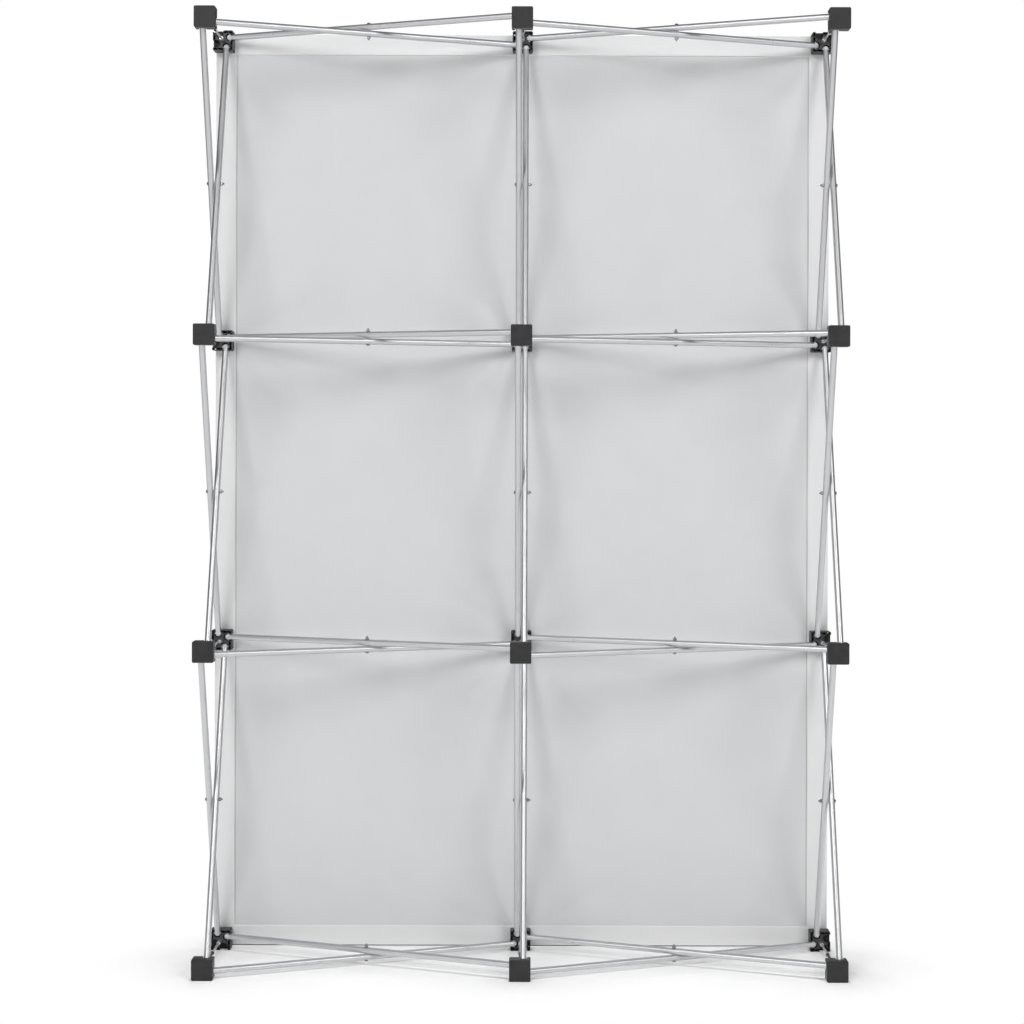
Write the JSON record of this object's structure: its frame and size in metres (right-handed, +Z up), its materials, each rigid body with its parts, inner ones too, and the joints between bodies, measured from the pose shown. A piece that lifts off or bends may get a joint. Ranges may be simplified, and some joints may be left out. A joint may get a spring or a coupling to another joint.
{
  "type": "banner wall",
  "caption": "Free-standing pop-up banner wall: a scissor lattice of tubes and moulded hubs that folds to a bundle, with a stretched fabric panel on its front.",
  "frame": {"origin": "on the floor under the middle of the wall", "axes": "+Z up, +X along the wall to the right as seen from its open back, +Y from the open back to the fabric"},
  "size_m": [1.528, 0.32, 2.267],
  "materials": {
    "hub_plastic": "moulded satin",
    "tube_aluminium": "drawn satin",
    "panel_fabric": "fine polyester knit",
    "hem_fabric": "folded polyester knit"
  },
  "bodies": {
    "front_hub_middle_bottom": {"front_hub_middle_bottom": "hub_plastic", "fabric_panel": "panel_fabric", "fabric_hem": "hem_fabric"},
    "rear_hub_left_bottom": {"rear_hub_left_bottom": "hub_plastic"},
    "rear_hub_left_lower": {"rear_hub_left_lower": "hub_plastic"},
    "rear_hub_left_upper": {"rear_hub_left_upper": "hub_plastic"},
    "rear_hub_left_top": {"rear_hub_left_top": "hub_plastic"},
    "rear_hub_middle_bottom": {"rear_hub_middle_bottom": "hub_plastic"},
    "rear_hub_middle_lower": {"rear_hub_middle_lower": "hub_plastic"},
    "rear_hub_middle_upper": {"rear_hub_middle_upper": "hub_plastic"},
    "rear_hub_middle_top": {"rear_hub_middle_top": "hub_plastic"},
    "rear_hub_right_bottom": {"rear_hub_right_bottom": "hub_plastic"},
    "rear_hub_right_lower": {"rear_hub_right_lower": "hub_plastic"},
    "rear_hub_right_upper": {"rear_hub_right_upper": "hub_plastic"},
    "rear_hub_right_top": {"rear_hub_right_top": "hub_plastic"},
    "front_hub_left_bottom": {"front_hub_left_bottom": "hub_plastic"},
    "front_hub_left_lower": {"front_hub_left_lower": "hub_plastic"},
    "front_hub_left_upper": {"front_hub_left_upper": "hub_plastic"},
    "front_hub_left_top": {"front_hub_left_top": "hub_plastic"},
    "front_hub_middle_lower": {"front_hub_middle_lower": "hub_plastic"},
    "front_hub_middle_upper": {"front_hub_middle_upper": "hub_plastic"},
    "front_hub_middle_top": {"front_hub_middle_top": "hub_plastic"},
    "front_hub_right_bottom": {"front_hub_right_bottom": "hub_plastic"},
    "front_hub_right_lower": {"front_hub_right_lower": "hub_plastic"},
    "front_hub_right_upper": {"front_hub_right_upper": "hub_plastic"},
    "front_hub_right_top": {"front_hub_right_top": "hub_plastic"},
    "cross_tube_left_bottom_low": {"cross_tube_left_bottom_low": "tube_aluminium"},
    "cross_tube_left_bottom_high": {"cross_tube_left_bottom_high": "tube_aluminium"},
    "cross_tube_left_lower_low": {"cross_tube_left_lower_low": "tube_aluminium"},
    "cross_tube_left_lower_high": {"cross_tube_left_lower_high": "tube_aluminium"},
    "cross_tube_left_upper_low": {"cross_tube_left_upper_low": "tube_aluminium"},
    "cross_tube_left_upper_high": {"cross_tube_left_upper_high": "tube_aluminium"},
    "cross_tube_left_top_low": {"cross_tube_left_top_low": "tube_aluminium"},
    "cross_tube_left_top_high": {"cross_tube_left_top_high": "tube_aluminium"},
    "cross_tube_right_bottom_low": {"cross_tube_right_bottom_low": "tube_aluminium"},
    "cross_tube_right_bottom_high": {"cross_tube_right_bottom_high": "tube_aluminium"},
    "cross_tube_right_lower_low": {"cross_tube_right_lower_low": "tube_aluminium"},
    "cross_tube_right_lower_high": {"cross_tube_right_lower_high": "tube_aluminium"},
    "cross_tube_right_upper_low": {"cross_tube_right_upper_low": "tube_aluminium"},
    "cross_tube_right_upper_high": {"cross_tube_right_upper_high": "tube_aluminium"},
    "cross_tube_right_top_low": {"cross_tube_right_top_low": "tube_aluminium"},
    "cross_tube_right_top_high": {"cross_tube_right_top_high": "tube_aluminium"},
    "upright_tube_left_bottom_left": {"upright_tube_left_bottom_left": "tube_aluminium"},
    "upright_tube_left_bottom_right": {"upright_tube_left_bottom_right": "tube_aluminium"},
    "upright_tube_left_centre_left": {"upright_tube_left_centre_left": "tube_aluminium"},
    "upright_tube_left_centre_right": {"upright_tube_left_centre_right": "tube_aluminium"},
    "upright_tube_left_top_left": {"upright_tube_left_top_left": "tube_aluminium"},
    "upright_tube_left_top_right": {"upright_tube_left_top_right": "tube_aluminium"},
    "upright_tube_middle_bottom_left": {"upright_tube_middle_bottom_left": "tube_aluminium"},
    "upright_tube_middle_bottom_right": {"upright_tube_middle_bottom_right": "tube_aluminium"},
    "upright_tube_middle_centre_left": {"upright_tube_middle_centre_left": "tube_aluminium"},
    "upright_tube_middle_centre_right": {"upright_tube_middle_centre_right": "tube_aluminium"},
    "upright_tube_middle_top_left": {"upright_tube_middle_top_left": "tube_aluminium"},
    "upright_tube_middle_top_right": {"upright_tube_middle_top_right": "tube_aluminium"},
    "upright_tube_right_bottom_left": {"upright_tube_right_bottom_left": "tube_aluminium"},
    "upright_tube_right_bottom_right": {"upright_tube_right_bottom_right": "tube_aluminium"},
    "upright_tube_right_centre_left": {"upright_tube_right_centre_left": "tube_aluminium"},
    "upright_tube_right_centre_right": {"upright_tube_right_centre_right": "tube_aluminium"},
    "upright_tube_right_top_left": {"upright_tube_right_top_left": "tube_aluminium"},
    "upright_tube_right_top_right": {"upright_tube_right_top_right": "tube_aluminium"}
  },
  "joints": [
    {"name": "frame_fold", "type": "hinge", "parent": "front_hub_middle_bottom", "child": "upright_tube_middle_bottom_left", "pos_m": [-0.008, 0.13, 0.041], "axis": [1, 0, 0], "range_deg": [0, 68], "deforming": ["fabric_panel", "fabric_hem"]},
    {"name": "rear_hub_middle_lower_pivot", "type": "hinge", "parent": "upright_tube_middle_bottom_left", "child": "rear_hub_middle_lower", "pos_m": [-0.008, -0.134, 0.748], "axis": [-1, 0, 0], "range_deg": [0, 68]},
    {"name": "cross_tube_left_bottom_low_pivot", "type": "hinge", "parent": "front_hub_middle_bottom", "child": "cross_tube_left_bottom_low", "pos_m": [-0.016, 0.13, 0.017], "axis": [0, 0, 1], "range_deg": [0, 68]},
    {"name": "rear_hub_left_bottom_pivot", "type": "hinge", "parent": "cross_tube_left_bottom_low", "child": "rear_hub_left_bottom", "pos_m": [-0.723, -0.134, 0.017], "axis": [0, 0, -1], "range_deg": [0, 68]},
    {"name": "cross_tube_right_bottom_high_pivot", "type": "hinge", "parent": "front_hub_middle_bottom", "child": "cross_tube_right_bottom_high", "pos_m": [0.016, 0.13, 0.033], "axis": [0, 0, -1], "range_deg": [0, 68]},
    {"name": "rear_hub_right_bottom_pivot", "type": "hinge", "parent": "cross_tube_right_bottom_high", "child": "rear_hub_right_bottom", "pos_m": [0.723, -0.134, 0.033], "axis": [0, 0, 1], "range_deg": [0, 68]},
    {"name": "upright_tube_middle_centre_right_pivot", "type": "hinge", "parent": "rear_hub_middle_lower", "child": "upright_tube_middle_centre_right", "pos_m": [0.008, -0.134, 0.78], "axis": [-1, 0, 0], "range_deg": [0, 68]},
    {"name": "front_hub_middle_upper_pivot", "type": "hinge", "parent": "upright_tube_middle_centre_right", "child": "front_hub_middle_upper", "pos_m": [0.008, 0.13, 1.487], "axis": [1, 0, 0], "range_deg": [0, 68]},
    {"name": "cross_tube_left_lower_high_pivot", "type": "hinge", "parent": "rear_hub_middle_lower", "child": "cross_tube_left_lower_high", "pos_m": [-0.016, -0.134, 0.772], "axis": [0, 0, -1], "range_deg": [0, 68]},
    {"name": "front_hub_left_lower_pivot", "type": "hinge", "parent": "cross_tube_left_lower_high", "child": "front_hub_left_lower", "pos_m": [-0.723, 0.13, 0.772], "axis": [0, 0, 1], "range_deg": [0, 68]},
    {"name": "cross_tube_right_lower_low_pivot", "type": "hinge", "parent": "rear_hub_middle_lower", "child": "cross_tube_right_lower_low", "pos_m": [0.016, -0.134, 0.756], "axis": [0, 0, 1], "range_deg": [0, 68]},
    {"name": "front_hub_right_lower_pivot", "type": "hinge", "parent": "cross_tube_right_lower_low", "child": "front_hub_right_lower", "pos_m": [0.723, 0.13, 0.756], "axis": [0, 0, -1], "range_deg": [0, 68]},
    {"name": "upright_tube_middle_top_left_pivot", "type": "hinge", "parent": "front_hub_middle_upper", "child": "upright_tube_middle_top_left", "pos_m": [-0.008, 0.13, 1.519], "axis": [1, 0, 0], "range_deg": [0, 68]},
    {"name": "rear_hub_middle_top_pivot", "type": "hinge", "parent": "upright_tube_middle_top_left", "child": "rear_hub_middle_top", "pos_m": [-0.008, -0.134, 2.226], "axis": [-1, 0, 0], "range_deg": [0, 68]},
    {"name": "cross_tube_left_upper_low_pivot", "type": "hinge", "parent": "front_hub_middle_upper", "child": "cross_tube_left_upper_low", "pos_m": [-0.016, 0.13, 1.495], "axis": [0, 0, 1], "range_deg": [0, 68]},
    {"name": "rear_hub_left_upper_pivot", "type": "hinge", "parent": "cross_tube_left_upper_low", "child": "rear_hub_left_upper", "pos_m": [-0.723, -0.134, 1.495], "axis": [0, 0, -1], "range_deg": [0, 68]},
    {"name": "cross_tube_right_upper_high_pivot", "type": "hinge", "parent": "front_hub_middle_upper", "child": "cross_tube_right_upper_high", "pos_m": [0.016, 0.13, 1.511], "axis": [0, 0, -1], "range_deg": [0, 68]},
    {"name": "rear_hub_right_upper_pivot", "type": "hinge", "parent": "cross_tube_right_upper_high", "child": "rear_hub_right_upper", "pos_m": [0.723, -0.134, 1.511], "axis": [0, 0, 1], "range_deg": [0, 68]},
    {"name": "cross_tube_left_top_high_pivot", "type": "hinge", "parent": "rear_hub_middle_top", "child": "cross_tube_left_top_high", "pos_m": [-0.016, -0.134, 2.25], "axis": [0, 0, -1], "range_deg": [0, 68]},
    {"name": "front_hub_left_top_pivot", "type": "hinge", "parent": "cross_tube_left_top_high", "child": "front_hub_left_top", "pos_m": [-0.723, 0.13, 2.25], "axis": [0, 0, 1], "range_deg": [0, 68]},
    {"name": "cross_tube_right_top_low_pivot", "type": "hinge", "parent": "rear_hub_middle_top", "child": "cross_tube_right_top_low", "pos_m": [0.016, -0.134, 2.234], "axis": [0, 0, 1], "range_deg": [0, 68]},
    {"name": "front_hub_right_top_pivot", "type": "hinge", "parent": "cross_tube_right_top_low", "child": "front_hub_right_top", "pos_m": [0.723, 0.13, 2.234], "axis": [0, 0, -1], "range_deg": [0, 68]},
    {"name": "middle_bottom_screw", "type": "hinge", "parent": "upright_tube_middle_bottom_left", "child": "upright_tube_middle_bottom_right", "pos_m": [0, -0.002, 0.3945], "axis": [-1, 0, 0], "range_deg": [0, 136]},
    {"name": "rear_hub_middle_bottom_pivot", "type": "hinge", "parent": "upright_tube_middle_bottom_right", "child": "rear_hub_middle_bottom", "pos_m": [0.008, -0.134, 0.041], "axis": [1, 0, 0], "range_deg": [0, 68]},
    {"name": "front_hub_middle_lower_pivot", "type": "hinge", "parent": "upright_tube_middle_bottom_right", "child": "front_hub_middle_lower", "pos_m": [0.008, 0.13, 0.748], "axis": [1, 0, 0], "range_deg": [0, 68]},
    {"name": "cross_tube_left_bottom_high_pivot", "type": "hinge", "parent": "rear_hub_middle_bottom", "child": "cross_tube_left_bottom_high", "pos_m": [-0.016, -0.134, 0.033], "axis": [0, 0, -1], "range_deg": [0, 68]},
    {"name": "front_hub_left_bottom_pivot", "type": "hinge", "parent": "cross_tube_left_bottom_high", "child": "front_hub_left_bottom", "pos_m": [-0.723, 0.13, 0.033], "axis": [0, 0, 1], "range_deg": [0, 68]},
    {"name": "cross_tube_right_bottom_low_pivot", "type": "hinge", "parent": "rear_hub_middle_bottom", "child": "cross_tube_right_bottom_low", "pos_m": [0.016, -0.134, 0.017], "axis": [0, 0, 1], "range_deg": [0, 68]},
    {"name": "front_hub_right_bottom_pivot", "type": "hinge", "parent": "cross_tube_right_bottom_low", "child": "front_hub_right_bottom", "pos_m": [0.723, 0.13, 0.017], "axis": [0, 0, -1], "range_deg": [0, 68]},
    {"name": "upright_tube_middle_centre_left_pivot", "type": "hinge", "parent": "front_hub_middle_lower", "child": "upright_tube_middle_centre_left", "pos_m": [-0.008, 0.13, 0.78], "axis": [1, 0, 0], "range_deg": [0, 68]},
    {"name": "rear_hub_middle_upper_pivot", "type": "hinge", "parent": "upright_tube_middle_centre_left", "child": "rear_hub_middle_upper", "pos_m": [-0.008, -0.134, 1.487], "axis": [-1, 0, 0], "range_deg": [0, 68]},
    {"name": "cross_tube_left_lower_low_pivot", "type": "hinge", "parent": "front_hub_middle_lower", "child": "cross_tube_left_lower_low", "pos_m": [-0.016, 0.13, 0.756], "axis": [0, 0, 1], "range_deg": [0, 68]},
    {"name": "rear_hub_left_lower_pivot", "type": "hinge", "parent": "cross_tube_left_lower_low", "child": "rear_hub_left_lower", "pos_m": [-0.723, -0.134, 0.756], "axis": [0, 0, -1], "range_deg": [0, 68]},
    {"name": "cross_tube_right_lower_high_pivot", "type": "hinge", "parent": "front_hub_middle_lower", "child": "cross_tube_right_lower_high", "pos_m": [0.016, 0.13, 0.772], "axis": [0, 0, -1], "range_deg": [0, 68]},
    {"name": "rear_hub_right_lower_pivot", "type": "hinge", "parent": "cross_tube_right_lower_high", "child": "rear_hub_right_lower", "pos_m": [0.723, -0.134, 0.772], "axis": [0, 0, 1], "range_deg": [0, 68]},
    {"name": "upright_tube_middle_top_right_pivot", "type": "hinge", "parent": "rear_hub_middle_upper", "child": "upright_tube_middle_top_right", "pos_m": [0.008, -0.134, 1.519], "axis": [-1, 0, 0], "range_deg": [0, 68]},
    {"name": "front_hub_middle_top_pivot", "type": "hinge", "parent": "upright_tube_middle_top_right", "child": "front_hub_middle_top", "pos_m": [0.008, 0.13, 2.226], "axis": [1, 0, 0], "range_deg": [0, 68]},
    {"name": "cross_tube_left_upper_high_pivot", "type": "hinge", "parent": "rear_hub_middle_upper", "child": "cross_tube_left_upper_high", "pos_m": [-0.016, -0.134, 1.511], "axis": [0, 0, -1], "range_deg": [0, 68]},
    {"name": "front_hub_left_upper_pivot", "type": "hinge", "parent": "cross_tube_left_upper_high", "child": "front_hub_left_upper", "pos_m": [-0.723, 0.13, 1.511], "axis": [0, 0, 1], "range_deg": [0, 68]},
    {"name": "cross_tube_right_upper_low_pivot", "type": "hinge", "parent": "rear_hub_middle_upper", "child": "cross_tube_right_upper_low", "pos_m": [0.016, -0.134, 1.495], "axis": [0, 0, 1], "range_deg": [0, 68]},
    {"name": "front_hub_right_upper_pivot", "type": "hinge", "parent": "cross_tube_right_upper_low", "child": "front_hub_right_upper", "pos_m": [0.723, 0.13, 1.495], "axis": [0, 0, -1], "range_deg": [0, 68]},
    {"name": "cross_tube_left_top_low_pivot", "type": "hinge", "parent": "front_hub_middle_top", "child": "cross_tube_left_top_low", "pos_m": [-0.016, 0.13, 2.234], "axis": [0, 0, 1], "range_deg": [0, 68]},
    {"name": "rear_hub_left_top_pivot", "type": "hinge", "parent": "cross_tube_left_top_low", "child": "rear_hub_left_top", "pos_m": [-0.723, -0.134, 2.234], "axis": [0, 0, -1], "range_deg": [0, 68]},
    {"name": "cross_tube_right_top_high_pivot", "type": "hinge", "parent": "front_hub_middle_top", "child": "cross_tube_right_top_high", "pos_m": [0.016, 0.13, 2.25], "axis": [0, 0, -1], "range_deg": [0, 68]},
    {"name": "rear_hub_right_top_pivot", "type": "hinge", "parent": "cross_tube_right_top_high", "child": "rear_hub_right_top", "pos_m": [0.723, -0.134, 2.25], "axis": [0, 0, 1], "range_deg": [0, 68]},
    {"name": "upright_tube_left_bottom_left_pivot", "type": "hinge", "parent": "front_hub_left_bottom", "child": "upright_tube_left_bottom_left", "pos_m": [-0.747, 0.13, 0.041], "axis": [1, 0, 0], "range_deg": [0, 68]},
    {"name": "upright_tube_left_bottom_right_pivot", "type": "hinge", "parent": "rear_hub_left_bottom", "child": "upright_tube_left_bottom_right", "pos_m": [-0.731, -0.134, 0.041], "axis": [-1, 0, 0], "range_deg": [0, 68]},
    {"name": "upright_tube_left_centre_left_pivot", "type": "hinge", "parent": "front_hub_left_lower", "child": "upright_tube_left_centre_left", "pos_m": [-0.747, 0.13, 0.78], "axis": [1, 0, 0], "range_deg": [0, 68]},
    {"name": "upright_tube_left_centre_right_pivot", "type": "hinge", "parent": "rear_hub_left_lower", "child": "upright_tube_left_centre_right", "pos_m": [-0.731, -0.134, 0.78], "axis": [-1, 0, 0], "range_deg": [0, 68]},
    {"name": "upright_tube_left_top_left_pivot", "type": "hinge", "parent": "front_hub_left_upper", "child": "upright_tube_left_top_left", "pos_m": [-0.747, 0.13, 1.519], "axis": [1, 0, 0], "range_deg": [0, 68]},
    {"name": "upright_tube_left_top_right_pivot", "type": "hinge", "parent": "rear_hub_left_upper", "child": "upright_tube_left_top_right", "pos_m": [-0.731, -0.134, 1.519], "axis": [-1, 0, 0], "range_deg": [0, 68]},
    {"name": "upright_tube_right_bottom_left_pivot", "type": "hinge", "parent": "front_hub_right_bottom", "child": "upright_tube_right_bottom_left", "pos_m": [0.731, 0.13, 0.041], "axis": [1, 0, 0], "range_deg": [0, 68]},
    {"name": "upright_tube_right_bottom_right_pivot", "type": "hinge", "parent": "rear_hub_right_bottom", "child": "upright_tube_right_bottom_right", "pos_m": [0.747, -0.134, 0.041], "axis": [-1, 0, 0], "range_deg": [0, 68]},
    {"name": "upright_tube_right_centre_left_pivot", "type": "hinge", "parent": "front_hub_right_lower", "child": "upright_tube_right_centre_left", "pos_m": [0.731, 0.13, 0.78], "axis": [1, 0, 0], "range_deg": [0, 68]},
    {"name": "upright_tube_right_centre_right_pivot", "type": "hinge", "parent": "rear_hub_right_lower", "child": "upright_tube_right_centre_right", "pos_m": [0.747, -0.134, 0.78], "axis": [-1, 0, 0], "range_deg": [0, 68]},
    {"name": "upright_tube_right_top_left_pivot", "type": "hinge", "parent": "front_hub_right_upper", "child": "upright_tube_right_top_left", "pos_m": [0.731, 0.13, 1.519], "axis": [1, 0, 0], "range_deg": [0, 68]},
    {"name": "upright_tube_right_top_right_pivot", "type": "hinge", "parent": "rear_hub_right_upper", "child": "upright_tube_right_top_right", "pos_m": [0.747, -0.134, 1.519], "axis": [-1, 0, 0], "range_deg": [0, 68]}
  ],
  "couplings": [
    {"joint": "rear_hub_middle_lower_pivot", "follows": "frame_fold", "ratio": 1},
    {"joint": "cross_tube_left_bottom_low_pivot", "follows": "frame_fold", "ratio": 1},
    {"joint": "rear_hub_left_bottom_pivot", "follows": "frame_fold", "ratio": 1},
    {"joint": "cross_tube_right_bottom_high_pivot", "follows": "frame_fold", "ratio": 1},
    {"joint": "rear_hub_right_bottom_pivot", "follows": "frame_fold", "ratio": 1},
    {"joint": "upright_tube_middle_centre_right_pivot", "follows": "frame_fold", "ratio": 1},
    {"joint": "front_hub_middle_upper_pivot", "follows": "frame_fold", "ratio": 1},
    {"joint": "cross_tube_left_lower_high_pivot", "follows": "frame_fold", "ratio": 1},
    {"joint": "front_hub_left_lower_pivot", "follows": "frame_fold", "ratio": 1},
    {"joint": "cross_tube_right_lower_low_pivot", "follows": "frame_fold", "ratio": 1},
    {"joint": "front_hub_right_lower_pivot", "follows": "frame_fold", "ratio": 1},
    {"joint": "upright_tube_middle_top_left_pivot", "follows": "frame_fold", "ratio": 1},
    {"joint": "rear_hub_middle_top_pivot", "follows": "frame_fold", "ratio": 1},
    {"joint": "cross_tube_left_upper_low_pivot", "follows": "frame_fold", "ratio": 1},
    {"joint": "rear_hub_left_upper_pivot", "follows": "frame_fold", "ratio": 1},
    {"joint": "cross_tube_right_upper_high_pivot", "follows": "frame_fold", "ratio": 1},
    {"joint": "rear_hub_right_upper_pivot", "follows": "frame_fold", "ratio": 1},
    {"joint": "cross_tube_left_top_high_pivot", "follows": "frame_fold", "ratio": 1},
    {"joint": "front_hub_left_top_pivot", "follows": "frame_fold", "ratio": 1},
    {"joint": "cross_tube_right_top_low_pivot", "follows": "frame_fold", "ratio": 1},
    {"joint": "front_hub_right_top_pivot", "follows": "frame_fold", "ratio": 1},
    {"joint": "middle_bottom_screw", "follows": "frame_fold", "ratio": 2},
    {"joint": "rear_hub_middle_bottom_pivot", "follows": "frame_fold", "ratio": 1},
    {"joint": "front_hub_middle_lower_pivot", "follows": "frame_fold", "ratio": 1},
    {"joint": "cross_tube_left_bottom_high_pivot", "follows": "frame_fold", "ratio": 1},
    {"joint": "front_hub_left_bottom_pivot", "follows": "frame_fold", "ratio": 1},
    {"joint": "cross_tube_right_bottom_low_pivot", "follows": "frame_fold", "ratio": 1},
    {"joint": "front_hub_right_bottom_pivot", "follows": "frame_fold", "ratio": 1},
    {"joint": "upright_tube_middle_centre_left_pivot", "follows": "frame_fold", "ratio": 1},
    {"joint": "rear_hub_middle_upper_pivot", "follows": "frame_fold", "ratio": 1},
    {"joint": "cross_tube_left_lower_low_pivot", "follows": "frame_fold", "ratio": 1},
    {"joint": "rear_hub_left_lower_pivot", "follows": "frame_fold", "ratio": 1},
    {"joint": "cross_tube_right_lower_high_pivot", "follows": "frame_fold", "ratio": 1},
    {"joint": "rear_hub_right_lower_pivot", "follows": "frame_fold", "ratio": 1},
    {"joint": "upright_tube_middle_top_right_pivot", "follows": "frame_fold", "ratio": 1},
    {"joint": "front_hub_middle_top_pivot", "follows": "frame_fold", "ratio": 1},
    {"joint": "cross_tube_left_upper_high_pivot", "follows": "frame_fold", "ratio": 1},
    {"joint": "front_hub_left_upper_pivot", "follows": "frame_fold", "ratio": 1},
    {"joint": "cross_tube_right_upper_low_pivot", "follows": "frame_fold", "ratio": 1},
    {"joint": "front_hub_right_upper_pivot", "follows": "frame_fold", "ratio": 1},
    {"joint": "cross_tube_left_top_low_pivot", "follows": "frame_fold", "ratio": 1},
    {"joint": "rear_hub_left_top_pivot", "follows": "frame_fold", "ratio": 1},
    {"joint": "cross_tube_right_top_high_pivot", "follows": "frame_fold", "ratio": 1},
    {"joint": "rear_hub_right_top_pivot", "follows": "frame_fold", "ratio": 1},
    {"joint": "upright_tube_left_bottom_left_pivot", "follows": "frame_fold", "ratio": 1},
    {"joint": "upright_tube_left_bottom_right_pivot", "follows": "frame_fold", "ratio": 1},
    {"joint": "upright_tube_left_centre_left_pivot", "follows": "frame_fold", "ratio": 1},
    {"joint": "upright_tube_left_centre_right_pivot", "follows": "frame_fold", "ratio": 1},
    {"joint": "upright_tube_left_top_left_pivot", "follows": "frame_fold", "ratio": 1},
    {"joint": "upright_tube_left_top_right_pivot", "follows": "frame_fold", "ratio": 1},
    {"joint": "upright_tube_right_bottom_left_pivot", "follows": "frame_fold", "ratio": 1},
    {"joint": "upright_tube_right_bottom_right_pivot", "follows": "frame_fold", "ratio": 1},
    {"joint": "upright_tube_right_centre_left_pivot", "follows": "frame_fold", "ratio": 1},
    {"joint": "upright_tube_right_centre_right_pivot", "follows": "frame_fold", "ratio": 1},
    {"joint": "upright_tube_right_top_left_pivot", "follows": "frame_fold", "ratio": 1},
    {"joint": "upright_tube_right_top_right_pivot", "follows": "frame_fold", "ratio": 1}
  ]
}
